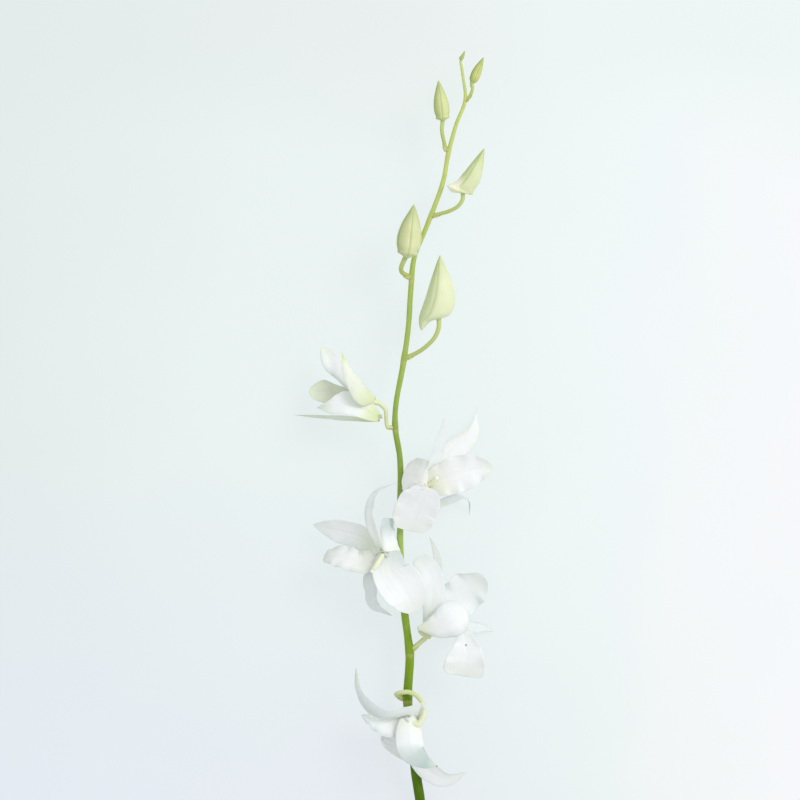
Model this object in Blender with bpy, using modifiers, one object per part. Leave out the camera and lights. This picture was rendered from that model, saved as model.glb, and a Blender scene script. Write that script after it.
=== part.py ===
"""Dendrobium orchid stem: a cut spray with five open flowers and six buds, lying on a surface.

The spray lies along +Y with its cut end towards -Y, on the surface z = 0. +X is to the right
and +Z points away from the surface. Every length in the tables is in millimetres. The routes
of stem and stalks are in the spray's own axes; the routes of sepals, petals and lips start at
the heart of their flower.
"""

import math
from dataclasses import dataclass

import bmesh
import bpy
from mathutils import Matrix, Vector

MM = 0.001
GAP = 0.3                # clearance between pieces that grow together
SHEET_THICKNESS = 0.8    # sepals, petals and lips
TIP_HALF_WIDTH = 0.3
RING_RADIUS = 2.8        # the sheets' bases stand on a ring around the heart
SHEET_ROWS = 10
SHEET_COLUMNS = 4
OVARY_RADIUS = 1.35

# The point of the tables' axes that becomes the origin.
FOOTPRINT_MIDDLE = (-3.0, 149.9, 0.0)

# How far forward of the heart each kind of sheet starts.
RING_LEVEL = {"sepal": -1.3, "petal": 0.5, "lip": 1.5}

COLOURS = {
    "stem": (0.36, 0.50, 0.13),
    "stalk": (0.62, 0.70, 0.38),
    "bud": (0.76, 0.82, 0.52),
    "sepal": (0.88, 0.91, 0.84),
    "petal": (0.93, 0.94, 0.92),
    "lip": (0.90, 0.92, 0.80),
    "column": (0.86, 0.90, 0.68),
}

# Centre line of the stem from the cut end to the tip: x, y, z, radius.
STEM_ROUTE = (
    (20.5, -75.0, 2.7, 2.65),
    (17.4, -50.0, 4.6, 2.60),
    (13.7, -25.0, 6.8, 2.55),
    (10.0, 0.0, 9.2, 2.50),
    (7.9, 12.5, 10.4, 2.45),
    (5.2, 35.0, 12.4, 2.32),
    (3.8, 50.0, 13.6, 2.25),
    (4.9, 70.0, 15.2, 2.10),
    (4.0, 80.0, 15.9, 1.95),
    (2.2, 94.0, 16.8, 1.85),
    (0.7, 112.0, 17.8, 1.72),
    (0.0, 130.0, 18.7, 1.62),
    (0.2, 150.0, 19.6, 1.52),
    (0.0, 170.0, 20.4, 1.40),
    (-2.4, 186.0, 21.0, 1.35),
    (-1.9, 199.0, 21.4, 1.18),
    (1.5, 217.5, 21.9, 1.22),
    (4.1, 236.0, 22.3, 1.20),
    (5.3, 254.0, 22.6, 1.18),
    (7.2, 271.5, 22.8, 1.15),
    (13.6, 287.5, 22.9, 1.12),
    (21.2, 308.0, 22.9, 1.07),
    (24.1, 323.0, 22.7, 1.00),
    (28.0, 337.5, 22.4, 0.82),
    (32.6, 350.0, 22.0, 0.74),
    (31.6, 361.5, 21.5, 0.64),
    (30.3, 370.0, 21.1, 0.60),
)


@dataclass(frozen=True)
class Sheet:
    """A sepal, petal or lip, by the route of its midrib from the heart of the flower."""

    half_width: float
    face: tuple                # where the inner face looks, at the base
    route: tuple               # points after the base, the last one is the tip
    cup: float = 0.35          # half angle of the cross section, radians; below 0 rolls back
    twist: float = 0.0         # degrees from base to tip
    peak: float = 0.5          # where along the route the sheet is widest
    point: float = 0.9         # below 1 is a round tip, above 1 a drawn-out one
    claw: float = 1.0          # above 1 keeps the base narrow for longer
    base: float = 1.5          # half width of the base
    start: tuple = ()          # base away from the ring


@dataclass(frozen=True)
class Flower:
    heart: tuple
    aim: tuple                 # where the open flower looks
    stalk: tuple               # from the stem to just behind the flower
    stalk_radius: float
    sheets: dict


FLOWER_1 = Flower(
    heart=(5.0, 38.0, 24.5),
    aim=(-0.66, -0.72, -0.2),
    stalk=((0.8, 50.2, 13.6), (-1.8, 52.0, 16.0), (1.0, 53.2, 18.4), (4.5, 53.4, 19.3),
           (8.5, 51.7, 20.2), (11.4, 47.8, 21.8), (11.9, 42.6, 24.0), (9.2, 38.0, 25.4)),
    stalk_radius=1.2,
    sheets={
        "dorsal_sepal": Sheet(4.4, (-0.42, 0.75, -0.52), (
            (-5.0, 4.8, 1.6), (-12.5, 4.6, 5.6), (-19.0, 7.5, 6.6), (-24.2, 13.5, 5.5), (-26.6, 19.5, 4.0),
            (-27.0, 28.4, 1.0)),
            cup=0.5, peak=0.3, point=0.8, claw=0.8, base=1.6, start=(2.5, 5.8, -3.4)),
        "lateral_sepal_left": Sheet(5.9, (-0.38, -0.55, 0.75), (
            (2.2, -9.0, -8.0), (5.0, -18.3, -9.2), (11.0, -25.2, -7.5), (19.5, -28.2, -5.0),
            (29.0, -24.0, -2.5)),
            cup=0.4, peak=0.5, point=1.1, claw=1.3, base=0.8),
        "lateral_sepal_right": Sheet(7.4, (-0.21, -0.32, -0.92), (
            (0.0, -6.5, 5.0), (1.6, -12.6, 8.5), (6.8, -17.2, 8.5), (14.0, -20.6, 6.0)),
            cup=0.5, peak=0.35, point=1.0, claw=0.6, base=1.8),
        "petal_left": Sheet(9.0, (-0.34, -0.68, 0.64), (
            (-7.8, -2.0, -9.5), (-10.2, -6.5, -16.8), (-12.0, -9.0, -24.25)),
            cup=0.3, peak=0.6, claw=1.6, base=0.9),
        "petal_right": Sheet(6.8, (0.22, -0.53, -0.82), (
            (-8.0, -0.9, -1.6), (-15.5, 1.2, -0.4), (-24.5, 4.5, 0.2)),
            cup=0.3, peak=0.35, claw=1.5, base=0.8),
        "lip": Sheet(9.6, (-0.35, -0.2, 0.91), (
            (-3.4, -5.8, -4.4), (-6.0, -11.0, -5.3), (-9.0, -15.5, -5.5)),
            cup=0.4, peak=0.7, point=0.35, claw=1.5, base=0.8),
    },
)

FLOWER_2 = Flower(
    heart=(14.5, 86.5, 21.5),
    aim=(0.6, 0.65, 0.45),
    stalk=((7.6, 75.9, 15.9), (10.1, 78.2, 17.0), (13.0, 80.8, 18.4), (14.6, 83.4, 19.8)),
    stalk_radius=1.15,
    sheets={
        "dorsal_sepal": Sheet(3.0, (0.58, -0.08, 0.81), (
            (2.0, 12.0, -4.0), (3.4, 22.0, -6.5), (4.0, 30.0, -7.0), (3.4, 37.0, -6.8), (0.2, 45.0, -6.5)),
            cup=0.4, peak=0.6, point=1.1, claw=0.7),
        "lateral_sepal_left": Sheet(9.3, (0.34, -0.03, -0.94), (
            (3.5, 1.0, 7.6), (10.0, 4.2, 9.8), (16.0, 6.8, 9.0), (18.8, 8.0, 7.0)),
            cup=0.35, peak=0.75, point=0.5, claw=1.1, base=0.9, start=(-5.6, -0.6, 4.4)),
        "lateral_sepal_right": Sheet(5.5, (0.46, 0.72, 0.52), (
            (9.0, -3.0, -7.0), (18.0, -2.0, -12.5), (26.5, -1.8, -17.1), (33.4, -4.2, -21.0)),
            cup=0.3, peak=0.45, point=1.1, claw=0.8),
        "petal_left": Sheet(6.3, (-0.03, -0.39, 0.92), (
            (1.0, 9.0, 2.5), (1.8, 18.5, 3.8), (0.0, 27.0, 4.0), (-5.4, 35.2, 3.0)),
            cup=0.3, peak=0.6, point=0.22, claw=0.9, base=1.6),
        "petal_right": Sheet(11.0, (0.24, -0.17, 0.96), (
            (10.0, 8.6, -3.0), (17.0, 16.0, -5.0), (23.0, 21.6, -5.0), (27.0, 26.0, -3.0)),
            cup=0.3, peak=0.6, point=0.55, claw=1.2),
        "lip": Sheet(11.0, (-0.19, 0.37, 0.91), (
            (9.0, 1.5, 0.0), (16.0, -1.0, 2.5), (18.4, -8.5, 4.5), (18.2, -16.5, 4.5), (17.0, -24.6, 2.5)),
            cup=0.4, peak=0.9, point=0.3, claw=4.2),
    },
)

FLOWER_3 = Flower(
    heart=(-9.5, 122.0, 26.5),
    aim=(-0.45, -0.52, 0.73),
    stalk=((-2.1, 112.5, 18.0), (-4.6, 116.0, 18.2), (-6.6, 121.0, 19.2)),
    stalk_radius=1.1,
    sheets={
        "dorsal_sepal": Sheet(2.9, (-0.28, -0.54, 0.79), (
            (-2.2, 9.0, 3.6), (-5.2, 18.0, 5.2), (-5.4, 23.6, 5.2), (-4.0, 29.0, 5.8), (-0.4, 33.4, 5.6),
            (8.0, 36.8, 4.4)),
            cup=0.3, peak=0.4, point=1.5, claw=0.6, base=0.9),
        "lateral_sepal_left": Sheet(4.4, (-0.47, 0.35, 0.81), (
            (-4.8, -10.0, -2.0), (-4.9, -17.0, -4.0), (-3.2, -24.6, -5.0), (5.6, -30.2, -6.5)),
            cup=0.3, peak=0.4, point=0.8, claw=0.6),
        "lateral_sepal_right": Sheet(4.4, (0.33, 0.77, 0.55), (
            (4.4, 5.2, -2.4), (3.2, 9.0, -2.6), (2.8, 13.8, -2.6), (3.2, 19.2, -2.4)),
            cup=0.3, peak=0.5, point=0.12, claw=0.7, base=0.9),
        "petal_left": Sheet(6.8, (-0.67, 0.0, 0.75), (
            (-4.6, 5.2, -1.5), (-10.5, 9.6, -4.4), (-19.0, 11.9, -8.0), (-27.0, 13.4, -13.0),
            (-34.5, 15.0, -19.0)),
            cup=0.35, peak=0.4, point=0.85, claw=1.2, base=1.1),
        "petal_right": Sheet(11.2, (-0.06, 0.26, 0.96), (
            (4.8, -7.0, 1.8), (10.2, -14.5, 4.0), (14.2, -21.0, 3.6), (16.6, -28.0, 0.5)),
            cup=0.35, peak=0.52, point=0.5, claw=0.9, base=1.2),
        "lip": Sheet(6.8, (0.0, 0.47, 0.88), (
            (-9.5, -3.6, 1.2), (-17.0, -1.4, 1.2), (-24.0, -0.2, -1.5), (-29.0, -1.4, -5.0)),
            cup=0.45, peak=0.5, point=0.5, claw=0.7, base=1.6),
    },
)

FLOWER_4 = Flower(
    heart=(14.0, 157.0, 24.5),
    aim=(0.85, 0.35, 0.4),
    stalk=((2.4, 149.6, 19.8), (5.2, 151.0, 20.2), (8.0, 153.8, 21.6)),
    stalk_radius=1.1,
    sheets={
        "dorsal_sepal": Sheet(3.6, (0.47, -0.64, 0.61), (
            (1.6, 8.5, 0.4), (4.6, 17.5, 1.0), (6.8, 26.0, 2.0), (8.2, 34.5, 3.0)),
            cup=0.3, peak=0.55, claw=1.2, base=0.8),
        "lateral_sepal_left": Sheet(11.0, (-0.19, -0.07, 0.98), (
            (-2.8, -6.0, 0.4), (-5.8, -11.5, 1.0), (-7.8, -17.0, 1.2), (-9.0, -22.6, 0.5)),
            cup=0.3, peak=0.5, point=0.2, claw=0.6, base=1.8),
        "lateral_sepal_right": Sheet(3.2, (0.84, 0.53, -0.11), (
            (4.5, -9.5, -6.0), (9.8, -8.0, -10.5), (16.2, -6.3, -15.5), (20.8, -8.0, -19.3),
            (21.3, -15.8, -24.15)),
            cup=0.3, peak=0.3, point=1.2, claw=0.7),
        "petal_left": Sheet(10.0, (0.47, -0.18, 0.86), (
            (-3.6, 2.6, 3.6), (-7.6, 4.6, 3.0), (-12.4, 6.2, 1.2)),
            cup=0.3, peak=0.45, point=0.4, claw=0.7, base=1.6),
        "petal_right": Sheet(5.8, (0.4, 0.01, 0.92), (
            (6.6, 8.6, -5.2), (12.2, 17.4, -8.8), (18.2, 21.8, -12.2), (23.4, 28.0, -16.4),
            (25.2, 39.9, -24.05)),
            cup=0.35, peak=0.45, point=1.8, claw=1.4, base=0.9),
        "lip": Sheet(9.6, (-0.49, -0.26, 0.83), (
            (7.0, 3.4, 1.5), (14.0, 5.8, 2.8), (21.0, 7.8, 2.8), (28.0, 9.0, 1.5), (33.0, 8.8, 0.0)),
            cup=0.5, peak=0.45, point=0.8, base=0.9, start=(1.6, -0.7, -1.7)),
    },
)

FLOWER_5 = Flower(
    heart=(-15.0, 199.0, 24.0),
    aim=(-0.96, -0.12, 0.0),
    stalk=((-4.3, 186.4, 21.2), (-6.4, 186.7, 21.6), (-6.9, 190.5, 22.4), (-7.3, 195.2, 23.2),
           (-10.4, 198.4, 23.8)),
    stalk_radius=0.95,
    sheets={
        "dorsal_sepal": Sheet(5.0, (-0.48, -0.07, -0.88), (
            (-3.4, 3.4, 6.6), (-6.4, 7.8, 7.0), (-9.7, 13.4, 6.0), (-12.4, 19.0, 4.6), (-14.0, 25.0, 3.0)),
            cup=0.5, peak=0.2, point=1.1, claw=0.8, base=1.2),
        "lateral_sepal_left": Sheet(3.0, (-0.05, 0.93, 0.37), (
            (-7.5, -8.6, -6.0), (-16.0, -8.0, -11.5), (-25.0, -7.5, -16.5), (-38.9, -6.6, -23.6)),
            cup=0.06, peak=0.35, point=1.2, claw=0.7, base=1.0, start=(4.5, -9.5, -2.0)),
        "lateral_sepal_right": Sheet(6.6, (0.36, 0.28, 0.89), (
            (0.6, -5.8, 3.0), (-5.5, -2.2, 3.2), (-12.5, -0.9, 3.2), (-19.5, -2.4, 2.6), (-26.5, -2.8, 1.0)),
            cup=0.3, peak=0.48, point=1.0, claw=1.3, base=0.9, start=(5.0, -8.6, 2.2)),
        "petal_left": Sheet(5.9, (-0.38, 0.08, 0.92), (
            (-8.5, 5.2, -6.5), (-14.5, 6.5, -9.0), (-22.5, 5.2, -9.5), (-30.8, 5.0, -8.0)),
            cup=0.4, peak=0.74, point=0.5, claw=16.0, base=0.9, start=(-0.5, 0.6, -2.8)),
        "petal_right": Sheet(4.9, (-0.17, 0.18, 0.97), (
            (-8.4, 8.0, -3.2), (-13.8, 14.6, -4.6), (-19.2, 19.8, -4.4), (-24.0, 27.4, -2.4)),
            cup=0.4, peak=0.66, point=0.5, claw=1.4),
        "lip": Sheet(3.6, (-0.29, 0.76, 0.58), (
            (-7.5, -3.2, -3.4), (-13.5, -2.6, -4.0), (-20.0, -2.4, -4.5)),
            cup=0.5, peak=0.55, point=0.7, claw=1.2),
    },
)

FLOWERS = (FLOWER_1, FLOWER_2, FLOWER_3, FLOWER_4, FLOWER_5)

# Sections of a closed bud at stations along it, from the end of the chin to the tip: station in
# lengths of the bud, then shift towards the chin, half width and half depth in its radii.
BUD_SECTIONS = (
    (-0.210, 1.16, 0.00, 0.00),
    (-0.190, 1.16, 0.11, 0.12),
    (-0.120, 1.08, 0.28, 0.30),
    (-0.050, 0.92, 0.47, 0.52),
    (0.020, 0.38, 0.98, 0.84),
    (0.140, 0.10, 1.10, 0.98),
    (0.330, -0.10, 1.03, 1.00),
    (0.580, -0.12, 0.74, 0.78),
    (0.840, -0.04, 0.31, 0.34),
    (0.950, -0.02, 0.12, 0.13),
    (1.000, 0.00, 0.00, 0.00),
)
BUD_SIDES = 12


@dataclass(frozen=True)
class Bud:
    base: tuple
    tip: tuple
    radius: float
    chin: tuple                # the side the chin is on
    chin_reach: float          # 1 is the full chin of a large bud
    chin_drop: float
    chin_width: float          # above 1 is a blunt chin
    stalk: tuple = ()
    stalk_radius: float = 0.0
    clearance: float = 0.0     # how far below the bud's base the stalk ends


BUDS = (
    Bud((19.4, 241.2, 25.0), (20.0, 272.5, 27.0), 7.2, (-1.0, -0.1, 0.0), 1.0, 1.0, 1.0,
        ((4.3, 221.6, 22.2), (11.1, 225.3, 23.0), (16.9, 230.7, 24.0), (19.3, 236.0, 24.7)), 1.05, 1.5),
    Bud((3.6, 273.6, 31.0), (7.0, 297.3, 32.5), 6.0, (0.1, -0.1, 1.0), 0.4, 0.6, 1.6,
        ((3.8, 262.0, 23.6), (0.9, 264.0, 26.0), (0.9, 267.0, 28.8)), 1.15, 2.4),
    Bud((31.8, 304.0, 25.5), (42.2, 325.7, 27.5), 4.6, (-1.0, 0.3, 0.0), 1.1, 0.55, 2.0,
        ((17.5, 292.5, 23.2), (24.6, 294.5, 24.0), (29.1, 297.0, 24.8), (31.3, 300.3, 25.3)), 0.95, 1.2),
    Bud((21.3, 341.4, 24.5), (19.2, 359.8, 25.5), 3.8, (0.0, -0.1, 1.0), 0.3, 0.55, 1.8,
        ((22.9, 325.9, 23.0), (21.6, 330.8, 23.7), (20.9, 335.2, 24.2)), 0.95, 2.3),
    Bud((36.5, 359.8, 22.5), (41.9, 371.6, 23.5), 2.4, (0.2, -0.1, 1.0), 0.2, 0.5, 1.3,
        ((33.9, 350.9, 22.2), (35.4, 353.0, 22.3), (36.3, 356.0, 22.4)), 0.8, 1.95),
)

TIP_BUD = Bud((30.35, 370.7, 21.1), (32.6, 375.1, 21.4), 0.95, (-1.0, 0.0, 0.0), 0.0, 0.35, 1.0)


def make_material(name):
    """One Principled material for each kind of tissue."""
    material = bpy.data.materials.new(name)
    material.use_nodes = True
    shader = material.node_tree.nodes["Principled BSDF"]
    shader.inputs["Base Color"].default_value = (*COLOURS[name], 1.0)
    shader.inputs["Roughness"].default_value = 0.55
    shader.inputs["Metallic"].default_value = 0.0
    return material


def curve_points(points, count):
    """Evenly spaced points on a smooth curve through the given points."""
    knots = [Vector(point) for point in points]
    knots = [2 * knots[0] - knots[1], *knots, 2 * knots[-1] - knots[-2]]
    dense = []
    steps = 24
    for before, start, end, after in zip(knots, knots[1:], knots[2:], knots[3:]):
        for step in range(steps):
            t = step / steps
            dense.append(0.5 * (2 * start + (end - before) * t
                                + (2 * before - 5 * start + 4 * end - after) * t ** 2
                                + (3 * start - before - 3 * end + after) * t ** 3))
    dense.append(knots[-2])
    lengths = [0.0]
    for start, end in zip(dense, dense[1:]):
        lengths.append(lengths[-1] + (end - start).length)
    result = []
    index = 0
    for step in range(count + 1):
        target = lengths[-1] * step / count
        while index < len(dense) - 2 and lengths[index + 1] < target:
            index += 1
        share = (target - lengths[index]) / (lengths[index + 1] - lengths[index])
        result.append(dense[index].lerp(dense[index + 1], share))
    return result


def add_object(name, mesh, material, collection):
    obj = bpy.data.objects.new(name, mesh)
    obj.data.materials.append(material)
    collection.objects.link(obj)
    return obj


def add_tube(name, route, radii, material, collection):
    """A round stalk with filled ends, as a curve with a bevel and a radius at each point."""
    curve = bpy.data.curves.new(name, "CURVE")
    curve.dimensions = "3D"
    curve.bevel_depth = MM
    curve.bevel_resolution = 2
    curve.use_fill_caps = True
    curve.render_resolution_u = 0
    spline = curve.splines.new("POLY")
    spline.points.add(len(route) - 1)
    for spline_point, place, radius in zip(spline.points, route, radii):
        spline_point.co = (*(place * MM), 1.0)
        spline_point.radius = radius
    return add_object(name, curve, material, collection)


def add_stem(material, collection):
    """The stem, thick at the cut end and thin at the tip."""
    count = 64
    route = curve_points([point[:3] for point in STEM_ROUTE], count)
    thickness = curve_points([(point[1], point[3], 0.0) for point in STEM_ROUTE], count)
    radii = [thickness_at(place.y, thickness) for place in route]
    return add_tube("stem", route, radii, material, collection)


def thickness_at(y, thickness):
    """The stem's radius at a place along it."""
    return min(thickness, key=lambda sample: abs(sample.x - y)).y


def add_flower_stalk(name, flower, material, collection):
    """Pedicel and ovary: a thin stalk that swells where it meets the back of the flower."""
    heart = Vector(flower.heart)
    aim = Vector(flower.aim).normalized()
    end = heart - aim * GAP
    route = curve_points([*flower.stalk, heart - 1.2 * aim, end], 14)
    swell = OVARY_RADIUS - flower.stalk_radius
    radii = [flower.stalk_radius + swell * (step / 14) ** 3 for step in range(15)]
    return add_tube(name, route, radii, material, collection)


def width_at(sheet, u):
    """Half width of a sheet at a share u of its length."""
    if u <= sheet.peak:
        rise = math.sin(math.pi / 2 * u / sheet.peak) ** sheet.claw
        return sheet.base + (sheet.half_width - sheet.base) * rise
    fall = math.cos(math.pi / 2 * (u - sheet.peak) / (1 - sheet.peak))
    return TIP_HALF_WIDTH + (sheet.half_width - TIP_HALF_WIDTH) * max(fall, 0.0) ** sheet.point


def sheet_base(flower, kind, sheet):
    """Where a sheet starts: on the ring around the heart, on the side its route leaves to."""
    if sheet.start:
        return Vector(sheet.start)
    aim = Vector(flower.aim).normalized()
    out = Vector(sheet.route[0])
    out = (out - out.dot(aim) * aim).normalized()
    return out * RING_RADIUS + aim * RING_LEVEL[kind]


def sheet_frames(route, face, twist):
    """Side and normal of the sheet at each point, carried along the route without turning."""
    frames = []
    tangent = (route[1] - route[0]).normalized()
    side = tangent.cross(Vector(face)).normalized()
    for index in range(len(route)):
        ahead = route[min(index + 1, len(route) - 1)]
        behind = route[max(index - 1, 0)]
        tangent = (ahead - behind).normalized()
        side = (side - side.dot(tangent) * tangent).normalized()
        turn = Matrix.Rotation(math.radians(twist) * index / (len(route) - 1), 3, tangent)
        frames.append((turn @ side, (turn @ side).cross(tangent)))
    return frames


def add_sheet(name, flower, kind, sheet, material, collection):
    """A curved leaf-like sheet: a grid laid along the midrib, with Solidify for its thickness."""
    heart = Vector(flower.heart)
    route = curve_points([sheet_base(flower, kind, sheet), *sheet.route], SHEET_ROWS)
    frames = sheet_frames(route, sheet.face, sheet.twist)
    bm = bmesh.new()
    bmesh.ops.create_grid(bm, x_segments=SHEET_COLUMNS, y_segments=SHEET_ROWS, size=1.0)
    for vert in bm.verts:
        row = round((vert.co.y + 1) / 2 * SHEET_ROWS)
        side, normal = frames[row]
        width = width_at(sheet, row / SHEET_ROWS)
        angle = sheet.cup * vert.co.x
        across = side * (width * math.sin(angle) / sheet.cup)
        lift = normal * (width * (1 - math.cos(angle)) / sheet.cup)
        vert.co = (heart + route[row] + across + lift) * MM
    mesh = bpy.data.meshes.new(name)
    bm.to_mesh(mesh)
    bm.free()
    mesh.shade_smooth()
    obj = add_object(name, mesh, material, collection)
    solidify = obj.modifiers.new("thickness", "SOLIDIFY")
    solidify.thickness = SHEET_THICKNESS * MM
    solidify.offset = 0.0
    return obj


def add_column(name, flower, material, collection):
    """The column: a short rounded pillar at the heart of the flower, ending in the anther cap."""
    aim = Vector(flower.aim).normalized()
    place = Vector(flower.heart) + aim * 3.4
    mesh = bpy.data.meshes.new(name)
    bm = bmesh.new()
    bmesh.ops.create_uvsphere(bm, u_segments=10, v_segments=7, radius=MM)
    bmesh.ops.scale(bm, vec=(1.15, 1.15, 3.0), verts=bm.verts)
    bm.to_mesh(mesh)
    bm.free()
    mesh.shade_smooth()
    obj = add_object(name, mesh, material, collection)
    obj.location = place * MM
    obj.rotation_euler = aim.to_track_quat("Z", "Y").to_euler()
    return obj


def add_bud_stalk(name, bud, material, collection):
    """The stalk of a bud, which ends just clear of the bud's underside."""
    base, tip = Vector(bud.base), Vector(bud.tip)
    end = base - (tip - base).normalized() * bud.clearance
    route = curve_points([*bud.stalk, end], 10)
    return add_tube(name, route, [bud.stalk_radius] * len(route), material, collection)


def bud_section(bud, index):
    """One of the sections, with the chin as far down and to the side as this bud has it."""
    station, shift, half_width, half_depth = BUD_SECTIONS[index]
    if station < 0.0:
        station *= bud.chin_drop
        half_width *= bud.chin_width
        half_depth *= bud.chin_width
    if station < 0.1:
        shift *= bud.chin_reach
    return station, shift, half_width, half_depth


def add_bud(name, bud, material, collection):
    """A closed bud: a ball whose rings are moved to the bud's sections, chin first."""
    base, tip = Vector(bud.base), Vector(bud.tip)
    axis = tip - base
    length = axis.length
    chin = Vector(bud.chin)
    chin = (chin - chin.dot(axis) / length ** 2 * axis).normalized()
    depth = axis.normalized().cross(chin)
    last = len(BUD_SECTIONS) - 1
    bm = bmesh.new()
    bmesh.ops.create_uvsphere(bm, u_segments=BUD_SIDES, v_segments=last, radius=1.0)
    for vert in bm.verts:
        height = max(-1.0, min(1.0, vert.co.z))
        index = round((math.asin(height) / math.pi + 0.5) * last)
        station, shift, half_width, half_depth = bud_section(bud, index)
        angle = math.atan2(vert.co.y, vert.co.x)
        vert.co = (base + axis * station
                   + chin * bud.radius * (shift + half_width * math.cos(angle))
                   + depth * bud.radius * half_depth * math.sin(angle))
        vert.co *= MM
    mesh = bpy.data.meshes.new(name)
    bm.to_mesh(mesh)
    bm.free()
    mesh.shade_smooth()
    return add_object(name, mesh, material, collection)


def build():
    """The whole spray, in a collection of its own."""
    for obj in list(bpy.data.objects):
        bpy.data.objects.remove(obj, do_unlink=True)
    spray = bpy.data.objects.new("spray", None)
    spray.location = -MM * Vector(FOOTPRINT_MIDDLE)
    collection = bpy.data.collections.new("dendrobium_orchid_stem")
    bpy.context.scene.collection.children.link(collection)
    collection.objects.link(spray)
    materials = {name: make_material(name) for name in COLOURS}
    add_stem(materials["stem"], collection)
    for number, flower in enumerate(FLOWERS, start=1):
        prefix = f"flower_{number}_"
        add_flower_stalk(prefix + "pedicel", flower, materials["stalk"], collection)
        add_column(prefix + "column", flower, materials["column"], collection)
        for name, sheet in flower.sheets.items():
            kind = "sepal" if "sepal" in name else name.split("_")[0]
            add_sheet(prefix + name, flower, kind, sheet, materials[kind], collection)
    for number, bud in enumerate(BUDS, start=1):
        add_bud_stalk(f"bud_{number}_pedicel", bud, materials["stalk"], collection)
        add_bud(f"bud_{number}", bud, materials["bud"], collection)
    add_bud("tip_bud", TIP_BUD, materials["bud"], collection)
    for obj in collection.objects:
        if obj != spray:
            obj.parent = spray


build()
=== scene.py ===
"""Looks of a cut dendrobium orchid spray: fine petals, buds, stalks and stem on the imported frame.

The tables hold the spray's own shape in millimetres, with +Y along the stem, +X to the right and
+Z up from the surface that it lies on. The routes of sepals, petals and lips start at the heart of
their flower. The tables' origin is placed on the frame by the first flower's column.
"""
import math
import random
from dataclasses import dataclass

import bmesh
import bpy
import numpy as np
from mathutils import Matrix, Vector


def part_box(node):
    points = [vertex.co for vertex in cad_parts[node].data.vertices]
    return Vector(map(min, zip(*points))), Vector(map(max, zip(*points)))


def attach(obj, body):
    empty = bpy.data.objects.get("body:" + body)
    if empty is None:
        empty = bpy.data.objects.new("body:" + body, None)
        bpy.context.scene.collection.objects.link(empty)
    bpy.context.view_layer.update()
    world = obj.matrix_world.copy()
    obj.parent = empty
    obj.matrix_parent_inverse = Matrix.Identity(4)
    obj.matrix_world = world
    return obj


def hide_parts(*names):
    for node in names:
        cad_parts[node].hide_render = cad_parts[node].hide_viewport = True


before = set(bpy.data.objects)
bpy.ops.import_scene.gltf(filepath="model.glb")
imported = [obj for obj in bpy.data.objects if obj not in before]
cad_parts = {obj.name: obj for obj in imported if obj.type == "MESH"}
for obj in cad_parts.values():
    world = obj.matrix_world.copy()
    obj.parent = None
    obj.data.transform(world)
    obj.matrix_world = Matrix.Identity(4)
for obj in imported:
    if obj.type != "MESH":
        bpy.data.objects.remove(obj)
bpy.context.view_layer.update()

MM = 0.001
CURVE_STEPS = 24          # between two given points of a route
SHEET_ROWS = 46
ROWS_INSIDE = 4           # rows that carry a sheet's base on into the flower's heart
LEAD_OUT = 0.6            # where those rows begin, out from the heart and below the base
LEAD_DROP = 1.2
WIDE_SHEET = 6.5          # half width from which a sheet has more columns
THICK_EDGE = 0.16
WANDER = 0.03             # unevenness of a sheet's outline, as a share of its width
RIBS = (0.33, 0.62)       # faint creases beside the midrib, in shares of the half width
FULL_CREASE = 8.0         # half width from which creases have their full depth
SPECK_RADIUS = 2.0
RING_RADIUS = 2.8         # the sheets' bases stand on a ring around the heart
RING_LEVEL = {"sepal": -1.3, "petal": 0.5, "lip": 1.5}
COLUMN_REACH = 3.4        # from the heart to the middle of the column's solid
CAP_RADIUS = 1.05
OVARY_RADIUS = 1.7
STEM_RINGS = 420
NODE_DROP = 2.6           # from the middle of a stalk's foot down to the tan ring of its node

STEM_ROUTE = (             # x, y, z and radius
    (20.5, -75.0, 2.7, 2.65), (17.4, -50.0, 4.6, 2.60), (13.7, -25.0, 6.8, 2.55), (9.8, 0.0, 9.2, 2.48),
    (7.9, 12.5, 10.4, 2.45), (5.2, 35.0, 12.4, 2.32), (3.8, 50.0, 13.6, 2.25), (4.9, 70.0, 15.2, 2.10),
    (4.0, 80.0, 15.9, 1.95), (2.2, 94.0, 16.8, 1.85), (0.7, 112.0, 17.8, 1.72), (0.0, 130.0, 18.7, 1.62),
    (0.2, 150.0, 19.6, 1.54), (0.0, 170.0, 20.4, 1.48), (-2.4, 186.0, 21.0, 1.38), (-1.9, 199.0, 21.4, 1.34),
    (1.5, 217.5, 21.9, 1.38), (4.1, 236.0, 22.3, 1.34), (5.3, 254.0, 22.6, 1.32), (7.2, 271.5, 22.8, 1.28),
    (13.6, 287.5, 22.9, 1.20), (21.2, 308.0, 22.9, 1.16), (24.1, 323.0, 22.7, 1.10),
    (28.0, 337.5, 22.4, 0.98), (32.6, 350.0, 22.0, 0.88), (31.6, 361.5, 21.5, 0.74),
    (30.3, 370.0, 21.1, 0.66),
)


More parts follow.
